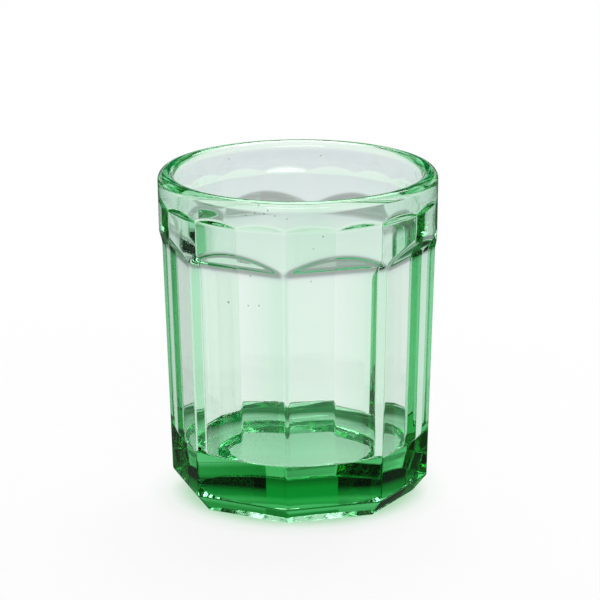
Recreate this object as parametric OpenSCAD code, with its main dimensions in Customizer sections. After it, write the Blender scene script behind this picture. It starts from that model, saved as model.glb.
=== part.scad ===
// Pressed glass tumbler: eight wide flats outside, sixteen narrow facets inside, one solid piece.
// The origin is the centre of the foot, on the table, and +Z points up out of the mouth.

/* [Overall] */
// Height from the table to the top of the rim
glass_h = 95; // [85:0.5:115]
// Outside diameter at the rim
rim_d = 80; // [70:0.5:90]
// How far the round body under the rim band stands in from the rim
body_inset = 0.3; // [0.1:0.05:1]

/* [Rim] */
// Thickness of the lip, which is rounded over inside and out
lip_t = 4.8; // [3.8:0.1:5.2]
// Height of the round band from the rim down to the arched tops of the flats
band_h = 16; // [12:0.5:24]

/* [Side flats] */
// Number of wide flats round the outside
flat_count = 8; // [6:1:10]
// Height of the shoulder that runs in from the round body to each flat
shoulder_h = 5; // [3:0.1:8]
// How far the upper end of each flat stands in from the round body
flat_inset = 3.3; // [2.6:0.1:3.8]
// How far the lower end of each flat stands in from its upper end
flat_taper = 2.1; // [0.6:0.1:3]

/* [Foot] */
// Height of the bevel round the foot
bevel_h = 5; // [2:0.1:7]
// Width of the bevel, measured inwards from each flat
bevel_w = 3.8; // [1:0.1:5]
// Width of the ring that the glass stands on, from the bevel in to the hollow
ring_w = 4.5; // [3:0.1:10]
// Depth of the hollow under the base
hollow_h = 3.1; // [1:0.1:5]
// How far the wall of the hollow leans in towards the top of the hollow
hollow_lean = 2.7; // [0.5:0.1:5]
// Number of notches round the wall of the hollow
notch_count = 30; // [12:1:40]
// Depth of each notch, outwards into the ring
notch_depth = 0.9; // [0.4:0.1:1.5]

/* [Cavity] */
// Thickness of the glass under the cavity floor, down to the table
base_t = 16.8; // [9:0.1:20]
// Thickness of the wall at the level of the floor, from a flat to the round cavity
wall_t = 1.6; // [1.3:0.1:3.5]
// Radius of the fillet between the wall and the floor
fillet_r = 3.5; // [2:0.1:8]

/* [Cavity facets] */
// Number of narrow facets round the inside
facet_count = 16; // [12:1:20]
// Distance from the rim down to the arched tops of the facets
facet_drop = 7.5; // [6:0.1:12]
// Height of the arch in which each facet runs out
facet_arch_h = 1.7; // [0.8:0.1:3]
// How far the corners between facets stand in from the round wall above them
facet_step = 0.2; // [0.1:0.05:0.4]
// Turn of the facets against the flats outside
facet_turn = 0.5; // [0.5:0.1:11]

/* [Hidden] */
$fn = 96;

glass_green = [0.45, 0.80, 0.58, 0.55];
past = 4;                       // how far a cutter or an envelope reaches past the glass
arc_steps = 12;                 // straight steps in a rounded corner of an outline
lip_land = 0.1;                 // flat left on top of the lip between its two rounded halves

lip_r = (lip_t - lip_land) / 2;
lip_z = glass_h - lip_r;
rim_r = rim_d / 2;
body_r = rim_r - body_inset;
mouth_r = rim_r - lip_t;
flat_pitch = 360 / flat_count;
facet_pitch = 360 / facet_count;
notch_pitch = 360 / notch_count;

shoulder_z = glass_h - band_h;
flat_top_z = shoulder_z - shoulder_h;
flat_top_r = body_r - flat_inset;
flat_foot_r = flat_top_r - flat_taper;
flat_slope = flat_taper / (flat_top_z - bevel_h);

hollow_foot_r = flat_foot_r - bevel_w - ring_w;
hollow_top_r = hollow_foot_r - hollow_lean;
notch_h = hollow_h * 0.85;
notch_w = PI * hollow_foot_r / notch_count;

facet_top_z = glass_h - facet_drop;
facet_cusp_z = facet_top_z - facet_arch_h;
floor_r = flat_foot_r + flat_slope * (base_t - bevel_h) - wall_t;
cavity_slope = (mouth_r - floor_r) / (lip_z - base_t);

// Distance from the axis to the round cavity wall at a height
function wall_r(z) = floor_r + cavity_slope * (z - base_t);

// Distance from the axis to the middle of a facet at that height
function facet_r(z) = (wall_r(z) - facet_step) * cos(facet_pitch / 2);

// Points on an arc about c, from angle a to angle b
function arc(c, r, a, b) =
    [for (i = [0 : arc_steps]) c + r * [cos(a + (b - a) * i / arc_steps), sin(a + (b - a) * i / arc_steps)]];

// The end of the line from p to q when it is run on past q by a height
function run_on(p, q, extra) = q + (q - p) * extra / abs(q[1] - p[1]);

// The solid body of revolution with the outer half of its lip, its seam turned away from the arches
module round_body() {
    rotate([0, 0, flat_pitch / 4])
        rotate_extrude()
            polygon(concat(
                [[0, 0], [body_r, 0], [body_r, flat_top_z]],
                arc([rim_r - lip_r, lip_z], lip_r, 0, 90),
                [[0, glass_h]]
            ));
}

// A frustum whose sides are the flats, between two points of [distance to the flat, height]
module flat_sided(low, high) {
    rotate([0, 0, flat_pitch / 2])
        translate([0, 0, low[1]])
            cylinder(
                h = high[1] - low[1],
                r1 = low[0] / cos(flat_pitch / 2),
                r2 = high[0] / cos(flat_pitch / 2),
                $fn = flat_count
            );
}

// The space that the bevel, the flats and the shoulder leave, open above for the round band
module flat_envelope() {
    bevel_foot = [flat_foot_r - bevel_w, 0];
    bevel_top = [flat_foot_r, bevel_h];
    shoulder_foot = [flat_top_r, flat_top_z];
    shoulder_top = run_on(shoulder_foot, [body_r, shoulder_z], band_h + past);
    flat_sided(bevel_foot, bevel_top);
    flat_sided(bevel_top, shoulder_foot);
    flat_sided(shoulder_foot, shoulder_top);
}

// The round cavity, with a fillet at the floor and the inner half of the lip
module round_cavity() {
    draft = atan(cavity_slope);
    fillet_z = base_t + fillet_r;
    fillet_mid_r = wall_r(fillet_z) - fillet_r / cos(draft);
    lip_mid_r = mouth_r + lip_r;
    rotate_extrude()
        polygon(concat(
            [[0, base_t]],
            arc([fillet_mid_r, fillet_z], fillet_r, -90, -draft),
            arc([lip_mid_r, lip_z], lip_r, 180, 90),
            [[lip_mid_r, glass_h + past], [0, glass_h + past]]
        ));
}

// The glass that stands inside the round cavity wall along one facet
module facet_rib() {
    facet_foot = [facet_r(0), 0];
    facet_cusp = [facet_r(facet_cusp_z), facet_cusp_z];
    facet_top = run_on(facet_cusp, [wall_r(facet_top_z), facet_top_z], past);
    rotate([90, 0, 0])
        linear_extrude(height = rim_d, center = true)
            polygon([
                facet_foot,
                facet_cusp,
                facet_top,
                [rim_d, facet_top[1]],
                [rim_d, 0]
            ]);
}

// The space inside the glass
module cavity() {
    difference() {
        round_cavity();
        for (i = [0 : facet_count - 1])
            rotate([0, 0, (i + 0.5) * facet_pitch + facet_turn])
                facet_rib();
    }
}

// The hollow that keeps the middle of the base off the table, with its leaning wall
module foot_hollow() {
    cylinder(h = hollow_h, r1 = hollow_foot_r, r2 = hollow_top_r);
    translate([0, 0, -past])
        cylinder(h = past, r = hollow_foot_r);
}

// One notch in the wall of the hollow
module notch() {
    notch_in = hollow_top_r - hollow_lean;
    translate([notch_in, -notch_w / 2, -past])
        cube([hollow_foot_r + notch_depth - notch_in, notch_w, past + notch_h]);
}

// The whole glass
module tumbler() {
    color(glass_green)
        difference() {
            intersection() {
                round_body();
                flat_envelope();
            }
            cavity();
            foot_hollow();
            for (i = [0 : notch_count - 1])
                rotate([0, 0, (i + 0.5) * notch_pitch])
                    notch();
        }
}

tumbler();
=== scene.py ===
"""Looks of the pressed glass tumbler: one closed glass mesh with facets, arches, notched foot and seeds."""
import math

import bpy
import numpy as np
from mathutils import Matrix, Vector


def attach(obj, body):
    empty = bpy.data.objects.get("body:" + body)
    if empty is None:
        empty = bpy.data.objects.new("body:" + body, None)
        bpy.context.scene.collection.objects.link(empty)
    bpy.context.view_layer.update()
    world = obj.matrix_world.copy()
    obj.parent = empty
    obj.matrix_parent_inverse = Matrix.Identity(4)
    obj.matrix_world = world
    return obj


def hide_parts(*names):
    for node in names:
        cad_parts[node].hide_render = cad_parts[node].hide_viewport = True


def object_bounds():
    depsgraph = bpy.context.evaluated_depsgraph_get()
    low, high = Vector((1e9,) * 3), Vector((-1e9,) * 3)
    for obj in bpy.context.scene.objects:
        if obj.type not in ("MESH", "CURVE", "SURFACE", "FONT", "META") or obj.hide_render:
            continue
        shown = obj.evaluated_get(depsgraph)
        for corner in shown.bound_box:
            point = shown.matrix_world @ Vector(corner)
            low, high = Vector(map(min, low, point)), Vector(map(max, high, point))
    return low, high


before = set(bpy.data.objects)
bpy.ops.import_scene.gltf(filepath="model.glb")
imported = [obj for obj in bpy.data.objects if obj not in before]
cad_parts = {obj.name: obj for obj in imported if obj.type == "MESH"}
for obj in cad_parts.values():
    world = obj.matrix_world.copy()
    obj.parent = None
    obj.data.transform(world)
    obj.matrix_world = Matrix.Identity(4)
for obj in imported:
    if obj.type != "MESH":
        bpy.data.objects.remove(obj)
cad_low, cad_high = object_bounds()

MM = 0.001
TURN = 2 * math.pi

# The overall size comes from the frame, in millimetres
GLASS_H = (cad_high[2] - cad_low[2]) / MM
RIM_R = (cad_high[0] - cad_low[0]) / MM / 2

# Rim band and lip
LIP_T = 4.8
LIP_R = LIP_T / 2
LIP_Z = GLASS_H - LIP_R
BODY_R = 39.7
BAND_H = 16.0

# Wide flats outside, as distances from the axis to a flat, and the shoulder that leans out over them
FLATS = 8
SHOULDER_H = 5.0
FLAT_TOP_R = 36.4
FLAT_FOOT_R = 34.3
SHOULDER_Z = GLASS_H - BAND_H
FLAT_TOP_Z = SHOULDER_Z - SHOULDER_H
SHOULDER_RISE = (BODY_R - FLAT_TOP_R) / SHOULDER_H

# Foot: the bevel, the ring it stands on and the hollow with its notched wall
BEVEL_H = 5.0
BEVEL_W = 3.8
BEVEL_FOOT_R = FLAT_FOOT_R - BEVEL_W
HOLLOW_H = 3.1
HOLLOW_TOP_R = 23.75
HOLLOW_FOOT_R = 26.45
HOLLOW_DOME = 0.5
NOTCHES = 30
NOTCH_SWING = 0.12
NOTCH_SHARP = 1.5
# The notches are full within the first distance from the hollow's upper edge and gone past the others
NOTCH_FULL = 0.4
NOTCH_IN = 1.6
NOTCH_OUT = 1.4

# Cavity and its facets
BASE_T = 16.8
CAVITY_FOOT_R = 33.06
FILLET_R = 1.8
FACETS = 16
FACET_DROP = 7.5
FACET_ARCH_H = 1.7
FACET_STEP = 0.2
FACET_TURN = math.radians(0.5)
FACET_TOP_Z = GLASS_H - FACET_DROP
CUSP_Z = FACET_TOP_Z - FACET_ARCH_H

# How sharp the corners between flats and between facets are: the higher, the sharper
CORNER_POWER = 260
FACET_POWER = 900

# Fire-polished edges, as radii in the section
HOLLOW_TOP_SOFT = 0.35
HOLLOW_FOOT_SOFT = 0.5
BEVEL_FOOT_SOFT = 0.8
BEVEL_TOP_SOFT = 1.2
FLAT_TOP_SOFT = 2.0
# and as the width of the band over which two surfaces run together
CREASE_BLEND = 1.2
ARCH_BLEND = 0.7
FLAT_BLEND = 0.6
FACET_BLEND = 0.25
FLOOR_BLEND = 0.5

# Grid: columns round the glass, how hard they crowd at the corners, and the steps along the section
COLUMNS = 480
OUTER_CROWD = 0.6
INNER_CROWD = 0.5
UNDER_STEP = 0.8
SIDE_STEP = 2.6
SHOULDER_STEP = 0.28
ARCH_STEP = 0.2
VAULT_ROWS = 15
BAND_ROWS = 6
LIP_ROWS = 19
MOUTH_ROWS = 5
WALL_ROWS = 16
FILLET_ROWS = 16
FLOOR_ROWS = 8
UNDER_ARC_ROWS = 6
OUTSIDE_ARC_ROWS = 7
# The fans in the middle of the hollow and of the floor reach this far from the axis
FAN_R = 0.3
# How far the zones of rows stop short of an edge or run past it
VAULT_SHORT = 2.0
DRIFT_PAST_HOLLOW = 0.8
DRIFT_SHORT_OF_BEVEL = 1.9
RING_SHORT_OF_BEVEL = 1.2
SLOPE_PAST_SHOULDER = 6.0
FINE_UNDER_SHOULDER = 1.5
FINE_PAST_SHOULDER = 1.4
BAND_PAST_SHOULDER = 1.8
BAND_UNDER_LIP = 0.6
MOUTH_UNDER_LIP = 0.8
MOUTH_OVER_ARCH = 0.8
ARCH_OVER_TOP = 0.6
ARCH_UNDER_CUSP = 0.8
WALL_UNDER_CUSP = 1.2
WALL_OVER_FILLET = 0.5
FINE_FROM = FLAT_TOP_Z - FINE_UNDER_SHOULDER

# Seed bubbles: degrees of turn, height, distance from the axis and radius, in millimetres
SEEDS = [
    (-34.5, 91.7, 37.6, 0.3),
    (-33.0, 93.3, 37.4, 0.2),
    (-38.5, 90.7, 37.2, 0.24),
    (-30.5, 91.6, 37.8, 0.32),
    (-29.0, 92.4, 37.5, 0.2),
    (-26.0, 91.1, 37.4, 0.26),
    (-21.0, 90.2, 37.0, 0.2),
    (-6.0, 85.0, 37.0, 0.24),
    (-10.0, 81.6, 37.0, 0.2),
    (-38.0, 72.8, 35.8, 0.26),
    (-11.0, 71.8, 35.8, 0.2),
    (-49.5, 64.3, 35.6, 0.34),
    (-39.5, 64.0, 35.4, 0.22),
    (-34.0, 64.4, 35.4, 0.24),
    (153.0, 90.5, 37.6, 0.28),
    (-163.0, 91.0, 37.6, 0.22),
    (-73.0, 88.0, 37.2, 0.24),
    (60.0, 84.0, 37.0, 0.24),
    (105.0, 70.0, 35.6, 0.24),
]
SEED_RINGS = 6
SEED_SIDES = 10

# Glass: its index, how strongly each metre of it takes in light, and the share of red, green and blue
# that is spared from that
GLASS_IOR = 1.52
GLASS_DENSITY = 40.0
GLASS_COLOUR = (0.0, 0.74, 0.26)

# Camera, found by matching the rim, the shoulder and the foot in the photograph. Its place and aim are in
# millimetres, and its near clip in metres
CAMERA_TURN = math.radians(-16.4)
CAMERA_RISE = math.radians(15.9)
CAMERA_FAR = 1150.0
CAMERA_MID_Z = 47.5
CAMERA_AIM_X = 0.43
CAMERA_AIM_Z = 56.48
CAMERA_ROLL = math.radians(-0.29)
CAMERA_NEAR_CLIP = 0.05
FOCAL_PIXELS = 3995.0
PHOTO_PIXELS = 600
SENSOR_MM = 36.0

# Lamps: name, place and size in metres, and power in watts
LAMPS = [
    ("overhead softbox", (0.3, 0.6, 1.1), (1.0, 0.8), 12),
    ("front softbox", (-0.35, -1.15, 1.05), (1.3, 0.35), 7),
]
LAMP_AIM = (0, 0, 0.05)

# Floor: half its width and how far it lies under the foot, in metres, and the white of its paper
FLOOR_HALF = 6.0
FLOOR_DROP = 0.0002
PAPER = 0.9
# The share of its white that needs no lamp, and how bright the outside of the glass mirrors it
PLAIN_WHITE = 0.85
SHINE = 0.06

# The table seen through the glass, by distance from its axis as a share of the reach in metres: white
# paper, with a painted deep green shadow close round its foot and painted shade that greys it further off
TABLE_REACH = 0.8
TABLE = [
    (0.0, 1.0, 1.0, 1.0),
    (0.038, 1.0, 1.0, 1.0),
    (0.042, 0.01, 0.12, 0.015),
    (0.05, 0.01, 0.12, 0.015),
    (0.057, 1.0, 1.0, 1.0),
    (0.3, 1.0, 0.98, 1.0),
    (0.43, 0.9, 0.85, 0.93),
    (0.5, 0.87, 0.82, 0.91),
    (0.65, 0.6, 0.57, 0.61),
    (1.0, 0.48, 0.45, 0.48),
]
# The same paper seen beside the glass, with a painted pale green glow close round the foot, darker and
# greener right under it
GLOW = [
    (0.0, 0.5, 0.78, 0.54),
    (0.04, 0.5, 0.78, 0.54),
    (0.045, 0.9, 0.96, 0.91),
    (0.054, 1.0, 1.0, 1.0),
    (1.0, 1.0, 1.0, 1.0),
]

# Studio light by the sine of the elevation, straight behind the glass: a gray far edge of the table, a
# bright strip over it, green cards and a dark ceiling that is open overhead
SKY_MID = [
    (0.0, 0.46, 0.43, 0.46),
    (0.09, 0.46, 0.43, 0.46),
    (0.1, 1.0, 1.0, 1.0),
    (0.13, 1.0, 1.0, 1.0),
    (0.14, 0.1, 0.42, 0.22),
    (0.235, 0.02, 0.25, 0.09),
    (0.286, 0.03, 0.5, 0.18),
    (0.36, 0.03, 0.56, 0.22),
    (0.39, 0.3, 0.82, 0.5),
    (0.45, 0.2, 0.22, 0.2),
    (0.6, 0.06, 0.06, 0.06),
    (0.85, 0.1, 0.1, 0.1),
    (0.92, 1.0, 1.0, 1.0),
]
# The same to either side of that, where dark cards stand among the green ones
SKY_SIDE = [
    (0.0, 0.46, 0.43, 0.46),
    (0.1, 0.46, 0.43, 0.46),
    (0.11, 1.0, 1.0, 1.0),
    (0.14, 1.0, 1.0, 1.0),
    (0.17, 0.15, 0.5, 0.25),
    (0.2, 0.1, 0.35, 0.15),
    (0.22, 0.005, 0.01, 0.005),
    (0.3, 0.005, 0.01, 0.005),
    (0.34, 0.03, 0.3, 0.12),
    (0.37, 0.08, 0.45, 0.2),
    (0.39, 0.5, 0.8, 0.6),
    (0.45, 0.2, 0.22, 0.2),
    (0.6, 0.06, 0.06, 0.06),
    (0.85, 0.1, 0.1, 0.1),
    (0.92, 1.0, 1.0, 1.0),
]
# Share of the second over the first, by half turns away from straight behind the glass
SIDE = [
    (0.0, 0.0, 0.0, 0.0),
    (0.07, 0.0, 0.0, 0.0),
    (0.12, 1.0, 1.0, 1.0),
    (1.0, 1.0, 1.0, 1.0),
]
# What is left of that light, by half turns: a dark screen stands on each side of the glass, and the room
# before it is a little dimmer. Over the sine of the elevation that follows, nothing is dimmed
ROUND = [
    (0.0, 1.0, 1.0, 1.0),
    (0.25, 1.0, 1.0, 1.0),
    (0.27, 0.03, 0.03, 0.03),
    (0.36, 0.03, 0.03, 0.03),
    (0.38, 0.8, 0.8, 0.8),
    (1.0, 0.8, 0.8, 0.8),
]
ROUND_TOP = 0.8

# Light bounces, enough for light that zigzags inside the thick glass before it leaves
BOUNCES = 40


def smooth_min(a, b, width):
    """The smaller of a and b, rounded off over a band of that width where they cross."""
    gap = np.maximum(width - np.abs(a - b), 0.0)
    return np.minimum(a, b) - gap * gap / (4 * width)


def fade(value, start, end):
    """Zero up to start, one from end on, and a straight rise between them."""
    return np.clip((value - start) / (end - start), 0, 1)


def many_sided(turn, sides, first, power):
    """Distance from the axis to a many-sided outline of unit inner radius, with its corners softened.

    A side is one over the cosine of the turn from its middle. The cosines are raised to a power and
    added, and the root is taken of one over the sum, so a high power keeps the sides flat.
    """
    total = np.zeros_like(turn)
    for side in range(sides):
        facing = np.cos(turn - first - side * TURN / sides)
        total += np.maximum(facing, 0.0) ** power
    return total ** (-1.0 / power)


def crowded(turn, sides, first, pull):
    """Turns that crowd at an outline's corners: the uniform turn less a sine with a wave for each side."""
    return turn - pull / sides * np.sin(sides * (turn - first))


def arc_points(mid, radius, start, end, count):
    """Points on an arc about mid, from one angle to another, as rows of (distance, height)."""
    angle = np.radians(np.linspace(start, end, count))
    return np.stack([mid[0] + radius * np.cos(angle), mid[1] + radius * np.sin(angle)], axis=1)


def rounded_path(points, radii, arc_count):
    """A path through points with each inner corner replaced by an arc of its radius."""
    out = [np.array([points[0]])]
    for i in range(1, len(points) - 1):
        p, q, r = (np.array(points[j], float) for j in (i - 1, i, i + 1))
        into = (q - p) / np.linalg.norm(q - p)
        away = (r - q) / np.linalg.norm(r - q)
        bend = math.acos(np.clip(into @ away, -1, 1))
        back = radii[i] * math.tan(bend / 2)
        side = np.sign(into[0] * away[1] - into[1] * away[0])
        centre = q - into * back + side * radii[i] * np.array([-into[1], into[0]])
        first = q - into * back - centre
        angles = side * bend * np.linspace(0, 1, arc_count)
        turned = np.stack([
            first[0] * np.cos(angles) - first[1] * np.sin(angles),
            first[0] * np.sin(angles) + first[1] * np.cos(angles),
        ], axis=1)
        out.append(centre + turned)
    out.append(np.array([points[-1]]))
    return np.concatenate(out)


def filled(path, step):
    """The path with points added, so that no step along it is longer than step."""
    out = [path[:1]]
    for a, b in zip(path[:-1], path[1:]):
        count = max(1, int(math.ceil(np.linalg.norm(b - a) / step)))
        out.append(a + (b - a) * (np.arange(1, count + 1) / count)[:, None])
    return np.concatenate(out)


def ring(radius, height, turn):
    """One closed row of points, from their distances from the axis, their height and their turns."""
    return np.stack([radius * np.sin(turn), -radius * np.cos(turn), height + 0 * turn], axis=1) * MM


def wall_radius(z):
    """Round cavity wall: a straight cone from the floor's level to the lip."""
    slope = (RIM_R - LIP_T - CAVITY_FOOT_R) / (LIP_Z - BASE_T)
    return CAVITY_FOOT_R + slope * (z - BASE_T)


def round_radius(z):
    """Round body outside: a cone that widens from the shoulder to the rim."""
    return BODY_R + (RIM_R - BODY_R) * fade(z, FLAT_TOP_Z, LIP_Z)


def facet_distance(z):
    """Distance from the axis to the middle of a facet: along the wall, and running out under the lip.

    The facet is a plane that stands in from the cone, and its top is a steeper plane that meets the cone.
    """
    inner = math.cos(TURN / FACETS / 2)
    cusp = (wall_radius(CUSP_Z) - FACET_STEP) * inner
    run_out = (wall_radius(FACET_TOP_Z) - cusp) / FACET_ARCH_H
    plain = (wall_radius(z) - FACET_STEP) * inner
    return -smooth_min(-plain, -(cusp + run_out * (z - CUSP_Z)), FACET_BLEND)


def under_rows(ring_to):
    """Section from the middle of the hollow, whose ceiling is a shallow parabola, down to the ring."""
    vault_r = np.linspace(FAN_R, HOLLOW_TOP_R - VAULT_SHORT, VAULT_ROWS)
    vault = np.stack([vault_r, HOLLOW_H + HOLLOW_DOME * (1 - (vault_r / HOLLOW_TOP_R) ** 2)], axis=1)
    corners = [vault[-1], (HOLLOW_TOP_R, HOLLOW_H), (HOLLOW_FOOT_R, 0.0), (ring_to, 0.0)]
    soft = [0, HOLLOW_TOP_SOFT, HOLLOW_FOOT_SOFT, 0]
    return np.concatenate([vault, rounded_path(corners, soft, UNDER_ARC_ROWS)[1:]])


def outside_rows():
    """Section from the standing ring out over the bevel, up the flats and on past the shoulder."""
    corners = [
        (BEVEL_FOOT_R - RING_SHORT_OF_BEVEL, 0.0),
        (BEVEL_FOOT_R, 0.0),
        (FLAT_FOOT_R, BEVEL_H),
        (FLAT_TOP_R, FLAT_TOP_Z),
        (BODY_R + SLOPE_PAST_SHOULDER * SHOULDER_RISE, SHOULDER_Z + SLOPE_PAST_SHOULDER),
    ]
    soft = [0, BEVEL_FOOT_SOFT, BEVEL_TOP_SOFT, FLAT_TOP_SOFT, 0]
    return rounded_path(corners, soft, OUTSIDE_ARC_ROWS)


def underside(uniform, outer_turn):
    """Rings of the hollow and of the ring that the glass stands on.

    The notches add the tanh of a cosine of the turn to the distance, along the upper edge of the
    hollow's wall. On the standing ring the columns drift towards the corners of the flats.
    """
    ring_from = HOLLOW_FOOT_R + DRIFT_PAST_HOLLOW
    ring_to = BEVEL_FOOT_R - DRIFT_SHORT_OF_BEVEL
    notch = np.tanh(NOTCH_SHARP * np.cos(NOTCHES * uniform)) * NOTCH_SWING
    rings = []
    for r, z in filled(under_rows(ring_to), UNDER_STEP):
        off = r - HOLLOW_TOP_R
        near = fade(off, -NOTCH_IN, -NOTCH_FULL) * fade(-off, -NOTCH_OUT, -NOTCH_FULL)
        drift = fade(r, ring_from, ring_to)
        rings.append(ring(r + notch * near, z, uniform + (outer_turn - uniform) * drift))
    return rings


def side_flats(outer_turn, outline):
    """Rings of the bevel and the flats: the smaller of the many-sided outline and the round body."""
    path = filled(outside_rows(), SIDE_STEP)
    rings = []
    for a, z in path[path[:, 1] < FINE_FROM]:
        radius = smooth_min(a * outline, round_radius(z) + 0 * outline, FLAT_BLEND)
        rings.append(ring(radius, z, outer_turn))
    return rings


def shoulder(outer_turn, outline):
    """Rings in fine even steps of height where the flats end in arches, and coarser up the band.

    The flat and the leaning shoulder are two slopes, of which the larger distance counts, and the round
    body cuts both.
    """
    flat_rise = (FLAT_TOP_R - FLAT_FOOT_R) / (FLAT_TOP_Z - BEVEL_H)
    heights = np.concatenate([
        np.arange(FINE_FROM, SHOULDER_Z + FINE_PAST_SHOULDER, SHOULDER_STEP),
        np.linspace(SHOULDER_Z + BAND_PAST_SHOULDER, LIP_Z - BAND_UNDER_LIP, BAND_ROWS),
    ])
    rings = []
    for z in heights:
        flat = FLAT_TOP_R + flat_rise * (z - FLAT_TOP_Z)
        slope = FLAT_TOP_R + SHOULDER_RISE * (z - FLAT_TOP_Z)
        a = -smooth_min(-flat, -slope, CREASE_BLEND)
        radius = smooth_min(a * outline, round_radius(z) + 0 * outline, ARCH_BLEND)
        rings.append(ring(radius, z, outer_turn))
    return rings


def lip(outer_turn, inner_turn):
    """Rings of the half round lip, over which the columns move from the outer to the inner crowding."""
    rows = arc_points((RIM_R - LIP_R, LIP_Z), LIP_R, 0, 180, LIP_ROWS)
    shares = np.linspace(0, 1, LIP_ROWS)
    return [ring(r, z, outer_turn + (inner_turn - outer_turn) * share) for (r, z), share in zip(rows, shares)]


def cavity_wall(inner_turn, facets):
    """Rings from the lip down past the arched tops of the facets, where facets cut the round wall."""
    heights = np.concatenate([
        np.linspace(LIP_Z - MOUTH_UNDER_LIP, FACET_TOP_Z + MOUTH_OVER_ARCH, MOUTH_ROWS),
        np.arange(FACET_TOP_Z + ARCH_OVER_TOP, CUSP_Z - ARCH_UNDER_CUSP, -ARCH_STEP),
        np.linspace(CUSP_Z - WALL_UNDER_CUSP, BASE_T + FILLET_R + WALL_OVER_FILLET, WALL_ROWS),
    ])
    rings = []
    for z in heights:
        radius = smooth_min(facet_distance(z) * facets, wall_radius(z) + 0 * facets, FACET_BLEND)
        rings.append(ring(radius, z, inner_turn))
    return rings


def cavity_floor(inner_turn, facets):
    """Rings of the fillet, an arc that the facets still cut, and of the flat floor."""
    draft = math.atan(wall_radius(1.0) - wall_radius(0.0))
    fillet_z = BASE_T + FILLET_R
    mid_r = wall_radius(fillet_z) - FILLET_R / math.cos(draft)
    rings = []
    for r, z in arc_points((mid_r, fillet_z), FILLET_R, -math.degrees(draft), -90, FILLET_ROWS)[1:]:
        radius = smooth_min(facet_distance(z) * facets, r + 0 * facets, FLOOR_BLEND)
        rings.append(ring(radius, z, inner_turn))
    for r in np.linspace(mid_r, FAN_R, FLOOR_ROWS)[1:]:
        rings.append(ring(r, BASE_T, inner_turn))
    return rings


def glass_surface():
    """The whole skin of the glass as one grid: travel along the section by turn about the axis."""
    uniform = np.arange(COLUMNS) / COLUMNS * TURN
    outer_turn = crowded(uniform, FLATS, TURN / FLATS / 2, OUTER_CROWD)
    inner_turn = crowded(uniform, FACETS, FACET_TURN, INNER_CROWD)
    outline = many_sided(outer_turn, FLATS, 0.0, CORNER_POWER)
    facets = many_sided(inner_turn, FACETS, FACET_TURN + TURN / FACETS / 2, FACET_POWER)
    return np.array(
        underside(uniform, outer_turn)
        + side_flats(outer_turn, outline)
        + shoulder(outer_turn, outline)
        + lip(outer_turn, inner_turn)
        + cavity_wall(inner_turn, facets)
        + cavity_floor(inner_turn, facets)
    )


def wrapped_faces(rows, columns):
    """Quads of a grid that closes round its columns, and a fan for each end.

    The middles of the two fans are the two points that follow the grid's own.
    """
    row = np.arange(rows - 1)[:, None] * columns
    one = np.arange(columns)
    two = (one + 1) % columns
    quads = np.stack([row + one, row + two, row + columns + two, row + columns + one], axis=-1).reshape(-1, 4)
    middle = np.full(columns, rows * columns)
    last = (rows - 1) * columns
    fans = np.concatenate([
        np.stack([middle, two, one], axis=1),
        np.stack([middle + 1, last + one, last + two], axis=1),
    ])
    return quads, fans


def seed_shell():
    """Unit ball as points, quads and triangles whose normals look inwards, into the void."""
    lean = np.linspace(0, math.pi, SEED_RINGS + 1)[1:-1]
    turn = np.arange(SEED_SIDES) / SEED_SIDES * TURN
    ball = np.stack([
        np.outer(np.sin(lean), np.cos(turn)),
        np.outer(np.sin(lean), np.sin(turn)),
        np.outer(np.cos(lean), np.ones(SEED_SIDES)),
    ], axis=2).reshape(-1, 3)
    points = np.concatenate([ball, [[0, 0, 1], [0, 0, -1]]])
    return points, *wrapped_faces(len(lean), SEED_SIDES)


def new_mesh(name, points, quads, fans):
    """A smooth mesh object from points, quads and triangles."""
    loops = np.concatenate([quads.ravel(), fans.ravel()])
    sizes = np.concatenate([np.full(len(quads), 4), np.full(len(fans), 3)])
    starts = np.concatenate([[0], np.cumsum(sizes)[:-1]])
    mesh = bpy.data.meshes.new(name)
    mesh.vertices.add(len(points))
    mesh.vertices.foreach_set("co", points.astype(np.float32).ravel())
    mesh.loops.add(len(loops))
    mesh.loops.foreach_set("vertex_index", loops.astype(np.int32))
    mesh.polygons.add(len(sizes))
    mesh.polygons.foreach_set("loop_start", starts.astype(np.int32))
    mesh.polygons.foreach_set("loop_total", sizes.astype(np.int32))
    mesh.update(calc_edges=True)
    mesh.validate()
    mesh.polygons.foreach_set("use_smooth", np.ones(len(mesh.polygons), bool))
    mesh.update()
    obj = bpy.data.objects.new(name, mesh)
    bpy.context.scene.collection.objects.link(obj)
    return obj


def closed_skin(name, grid):
    """The glass: a grid that closes round the turn, a fan at both ends, and the seeds inside it."""
    rows, columns, _ = grid.shape
    points = np.concatenate([grid.reshape(-1, 3), [grid[0].mean(axis=0)], [grid[-1].mean(axis=0)]])
    quads, fans = wrapped_faces(rows, columns)
    ball, ball_quads, ball_fans = seed_shell()
    for degrees, height, far, radius in SEEDS:
        turn = math.radians(degrees)
        place = (far * math.sin(turn), -far * math.cos(turn), height)
        quads = np.concatenate([quads, ball_quads + len(points)])
        fans = np.concatenate([fans, ball_fans + len(points)])
        points = np.concatenate([points, (ball * radius + place) * MM])
    return new_mesh(name, points, quads, fans)


def node_in(tree, kind, **inputs):
    """A shader node with some of its sockets set by name."""
    node = tree.nodes.new(kind)
    for socket, value in inputs.items():
        node.inputs[socket.replace("_", " ")].default_value = value
    return node


def feed(tree, node, index, value):
    """Gives a node's input a number or colour, or links a socket to it."""
    if isinstance(value, (int, float, tuple)):
        node.inputs[index].default_value = value
    else:
        tree.links.new(value, node.inputs[index])


def maths(tree, operation, first, second=0.0, clamp=False):
    """A maths node whose inputs are sockets or numbers; gives its output socket."""
    node = tree.nodes.new("ShaderNodeMath")
    node.operation = operation
    node.use_clamp = clamp
    feed(tree, node, 0, first)
    feed(tree, node, 1, second)
    return node.outputs[0]


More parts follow.
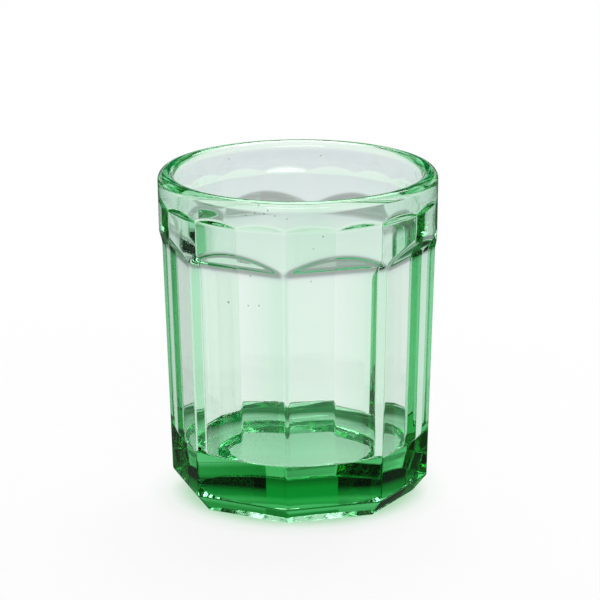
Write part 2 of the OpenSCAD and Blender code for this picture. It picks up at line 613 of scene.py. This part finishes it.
def ramp(tree, value, stops):
    """A colour ramp over a socket, from rows of (place, red, green, blue); gives its colour socket."""
    node = tree.nodes.new("ShaderNodeValToRGB")
    elements = node.color_ramp.elements
    elements[0].position, elements[1].position = stops[0][0], stops[-1][0]
    elements[0].color, elements[1].color = (*stops[0][1:], 1), (*stops[-1][1:], 1)
    for place, red, green, blue in stops[1:-1]:
        elements.new(place).color = (red, green, blue, 1)
    tree.links.new(value, node.inputs[0])
    return node.outputs[0]


def tint(tree, kind, share, first, second):
    """Two colours put together with a kind of blend, by a share; gives the colour socket."""
    node = tree.nodes.new("ShaderNodeMix")
    node.data_type = "RGBA"
    node.blend_type = kind
    feed(tree, node, 0, share)
    feed(tree, node, 6, first)
    feed(tree, node, 7, second)
    return node.outputs[2]


def blend(tree, share, first, second):
    """A mix of two shaders by a share; gives its shader socket."""
    node = tree.nodes.new("ShaderNodeMixShader")
    feed(tree, node, 0, share)
    tree.links.new(first, node.inputs[1])
    tree.links.new(second, node.inputs[2])
    return node.outputs[0]


def half_turns(tree, x, y):
    """The turn of a direction away from straight behind the glass, from 0 to 1 half turns."""
    turned = maths(tree, "ADD", maths(tree, "ARCTAN2", x, y), CAMERA_TURN)
    return maths(tree, "MULTIPLY", maths(tree, "PINGPONG", turned, math.pi), 1 / math.pi)


def new_material(name):
    """An empty material; gives it, its node tree and its output node."""
    material = bpy.data.materials.new(name)
    material.use_nodes = True
    tree = material.node_tree
    tree.nodes.clear()
    return material, tree, tree.nodes.new("ShaderNodeOutputMaterial")


def green_glass():
    """Clear green glass: a smooth dielectric, coloured by the depth of glass that the light crosses."""
    material, tree, out = new_material("green_glass")
    skin = node_in(
        tree,
        "ShaderNodeBsdfPrincipled",
        Base_Color=(1, 1, 1, 1),
        Roughness=0.0,
        IOR=GLASS_IOR,
        Transmission_Weight=1.0,
    )
    depth = node_in(tree, "ShaderNodeVolumeAbsorption", Color=(*GLASS_COLOUR, 1), Density=GLASS_DENSITY)
    tree.links.new(skin.outputs[0], out.inputs["Surface"])
    tree.links.new(depth.outputs[0], out.inputs["Volume"])
    return material


def white_floor():
    """White paper: to the camera white with the glass's shadow and a painted green glow round the foot, and
    to the glass a table with painted shadow and shade.
    """
    material, tree, out = new_material("white_floor")
    place = tree.nodes.new("ShaderNodeTexCoord")
    far = tree.nodes.new("ShaderNodeVectorMath")
    far.operation = "LENGTH"
    tree.links.new(place.outputs["Object"], far.inputs[0])
    away = maths(tree, "MULTIPLY", far.outputs["Value"], 1 / TABLE_REACH)
    paper = node_in(tree, "ShaderNodeBsdfDiffuse", Color=(PAPER, PAPER, PAPER, 1))
    white = node_in(tree, "ShaderNodeEmission", Strength=1.0)
    through = node_in(tree, "ShaderNodeEmission", Strength=1.0)
    shine = node_in(tree, "ShaderNodeEmission", Color=(SHINE, SHINE, SHINE, 1), Strength=1.0)
    # Painted glow and shadow: the paper that the camera sees is tinted green and darker close round the foot
    tree.links.new(ramp(tree, away, GLOW), white.inputs["Color"])
    # Painted shadow and shade: the table that the glass sees has a deep green ring round the foot and greys
    # further off
    tree.links.new(ramp(tree, away, TABLE), through.inputs["Color"])
    # Light that passes through glass counts as glossy too, so the mirror images are what is left without it
    path = tree.nodes.new("ShaderNodeLightPath")
    passing = path.outputs["Is Transmission Ray"]
    straight = maths(tree, "MULTIPLY", path.outputs["Is Camera Ray"], PLAIN_WHITE)
    mirrored = maths(tree, "SUBTRACT", path.outputs["Is Glossy Ray"], passing, clamp=True)
    mixed = blend(tree, straight, paper.outputs[0], white.outputs[0])
    mixed = blend(tree, passing, mixed, through.outputs[0])
    mixed = blend(tree, mirrored, mixed, shine.outputs[0])
    tree.links.new(mixed, out.inputs["Surface"])
    return material


def studio():
    """World: white to the camera, and to the glass a studio with cards behind it and screens beside it."""
    world = bpy.data.worlds.new("studio")
    bpy.context.scene.world = world
    world.use_nodes = True
    tree = world.node_tree
    tree.nodes.clear()
    out = tree.nodes.new("ShaderNodeOutputWorld")
    back = node_in(tree, "ShaderNodeBackground", Color=(1, 1, 1, 1), Strength=1.0)
    room = node_in(tree, "ShaderNodeBackground", Strength=1.0)
    path = tree.nodes.new("ShaderNodeLightPath")
    place = tree.nodes.new("ShaderNodeTexCoord")
    split = tree.nodes.new("ShaderNodeSeparateXYZ")
    tree.links.new(place.outputs["Generated"], split.inputs[0])
    height = split.outputs["Z"]
    turned = half_turns(tree, split.outputs["X"], split.outputs["Y"])
    middle = ramp(tree, height, SKY_MID)
    beside = ramp(tree, height, SKY_SIDE)
    sky = tint(tree, "MIX", ramp(tree, turned, SIDE), middle, beside)
    over = maths(tree, "GREATER_THAN", height, ROUND_TOP)
    dim = tint(tree, "MIX", over, ramp(tree, turned, ROUND), (1, 1, 1, 1))
    tree.links.new(tint(tree, "MULTIPLY", 1.0, sky, dim), room.inputs["Color"])
    seen = blend(tree, path.outputs["Is Camera Ray"], room.outputs[0], back.outputs[0])
    tree.links.new(seen, out.inputs["Surface"])


def looking(place, aim):
    """Turn of something upright at a place that looks at an aim."""
    return (aim - place).to_track_quat("-Z", "Y").to_matrix().to_4x4()


def add_camera():
    """Camera at the photograph's angle, far off with a long lens, aimed a little over the glass's middle."""
    data = bpy.data.cameras.new("camera")
    data.sensor_width = SENSOR_MM
    data.lens = FOCAL_PIXELS * SENSOR_MM / PHOTO_PIXELS
    data.clip_start = CAMERA_NEAR_CLIP
    camera = bpy.data.objects.new("camera", data)
    bpy.context.scene.collection.objects.link(camera)
    flat = CAMERA_FAR * math.cos(CAMERA_RISE)
    place = Vector((
        flat * math.sin(CAMERA_TURN),
        -flat * math.cos(CAMERA_TURN),
        CAMERA_MID_Z + CAMERA_FAR * math.sin(CAMERA_RISE),
    ))
    aim = Vector((
        CAMERA_AIM_X * math.cos(CAMERA_TURN),
        CAMERA_AIM_X * math.sin(CAMERA_TURN),
        CAMERA_AIM_Z,
    ))
    roll = Matrix.Rotation(CAMERA_ROLL, 4, "Z")
    camera.matrix_world = Matrix.Translation(place * MM) @ looking(place, aim) @ roll
    bpy.context.scene.camera = camera


def add_light(name, place, size, power):
    """A soft rectangular lamp that looks at the glass."""
    data = bpy.data.lights.new(name, "AREA")
    data.shape = "RECTANGLE"
    data.size, data.size_y = size
    data.energy = power
    lamp = bpy.data.objects.new(name, data)
    bpy.context.scene.collection.objects.link(lamp)
    where = Vector(place)
    lamp.matrix_world = Matrix.Translation(where) @ looking(where, Vector(LAMP_AIM))


def add_floor():
    """Wide white floor under the glass."""
    half = FLOOR_HALF
    corners = [(-half, -half, 0), (half, -half, 0), (half, half, 0), (-half, half, 0)]
    mesh = bpy.data.meshes.new("floor")
    mesh.from_pydata(corners, [], [(0, 1, 2, 3)])
    mesh.materials.append(white_floor())
    floor = bpy.data.objects.new("floor", mesh)
    bpy.context.scene.collection.objects.link(floor)
    floor.location.z = -FLOOR_DROP


def set_bounces():
    """The same high limit for all bounces that glass needs."""
    paths = bpy.context.scene.cycles
    paths.max_bounces = BOUNCES
    paths.glossy_bounces = BOUNCES
    paths.transmission_bounces = BOUNCES


add_camera()
studio()
add_floor()
for lamp_name, lamp_place, lamp_size, lamp_power in LAMPS:
    add_light(lamp_name, lamp_place, lamp_size, lamp_power)
set_bounces()

glass = closed_skin("tumbler_glass", glass_surface())
glass.data.materials.append(green_glass())
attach(glass, "root")
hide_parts("tumbler")

bpy.context.scene.view_settings.view_transform = "Standard"
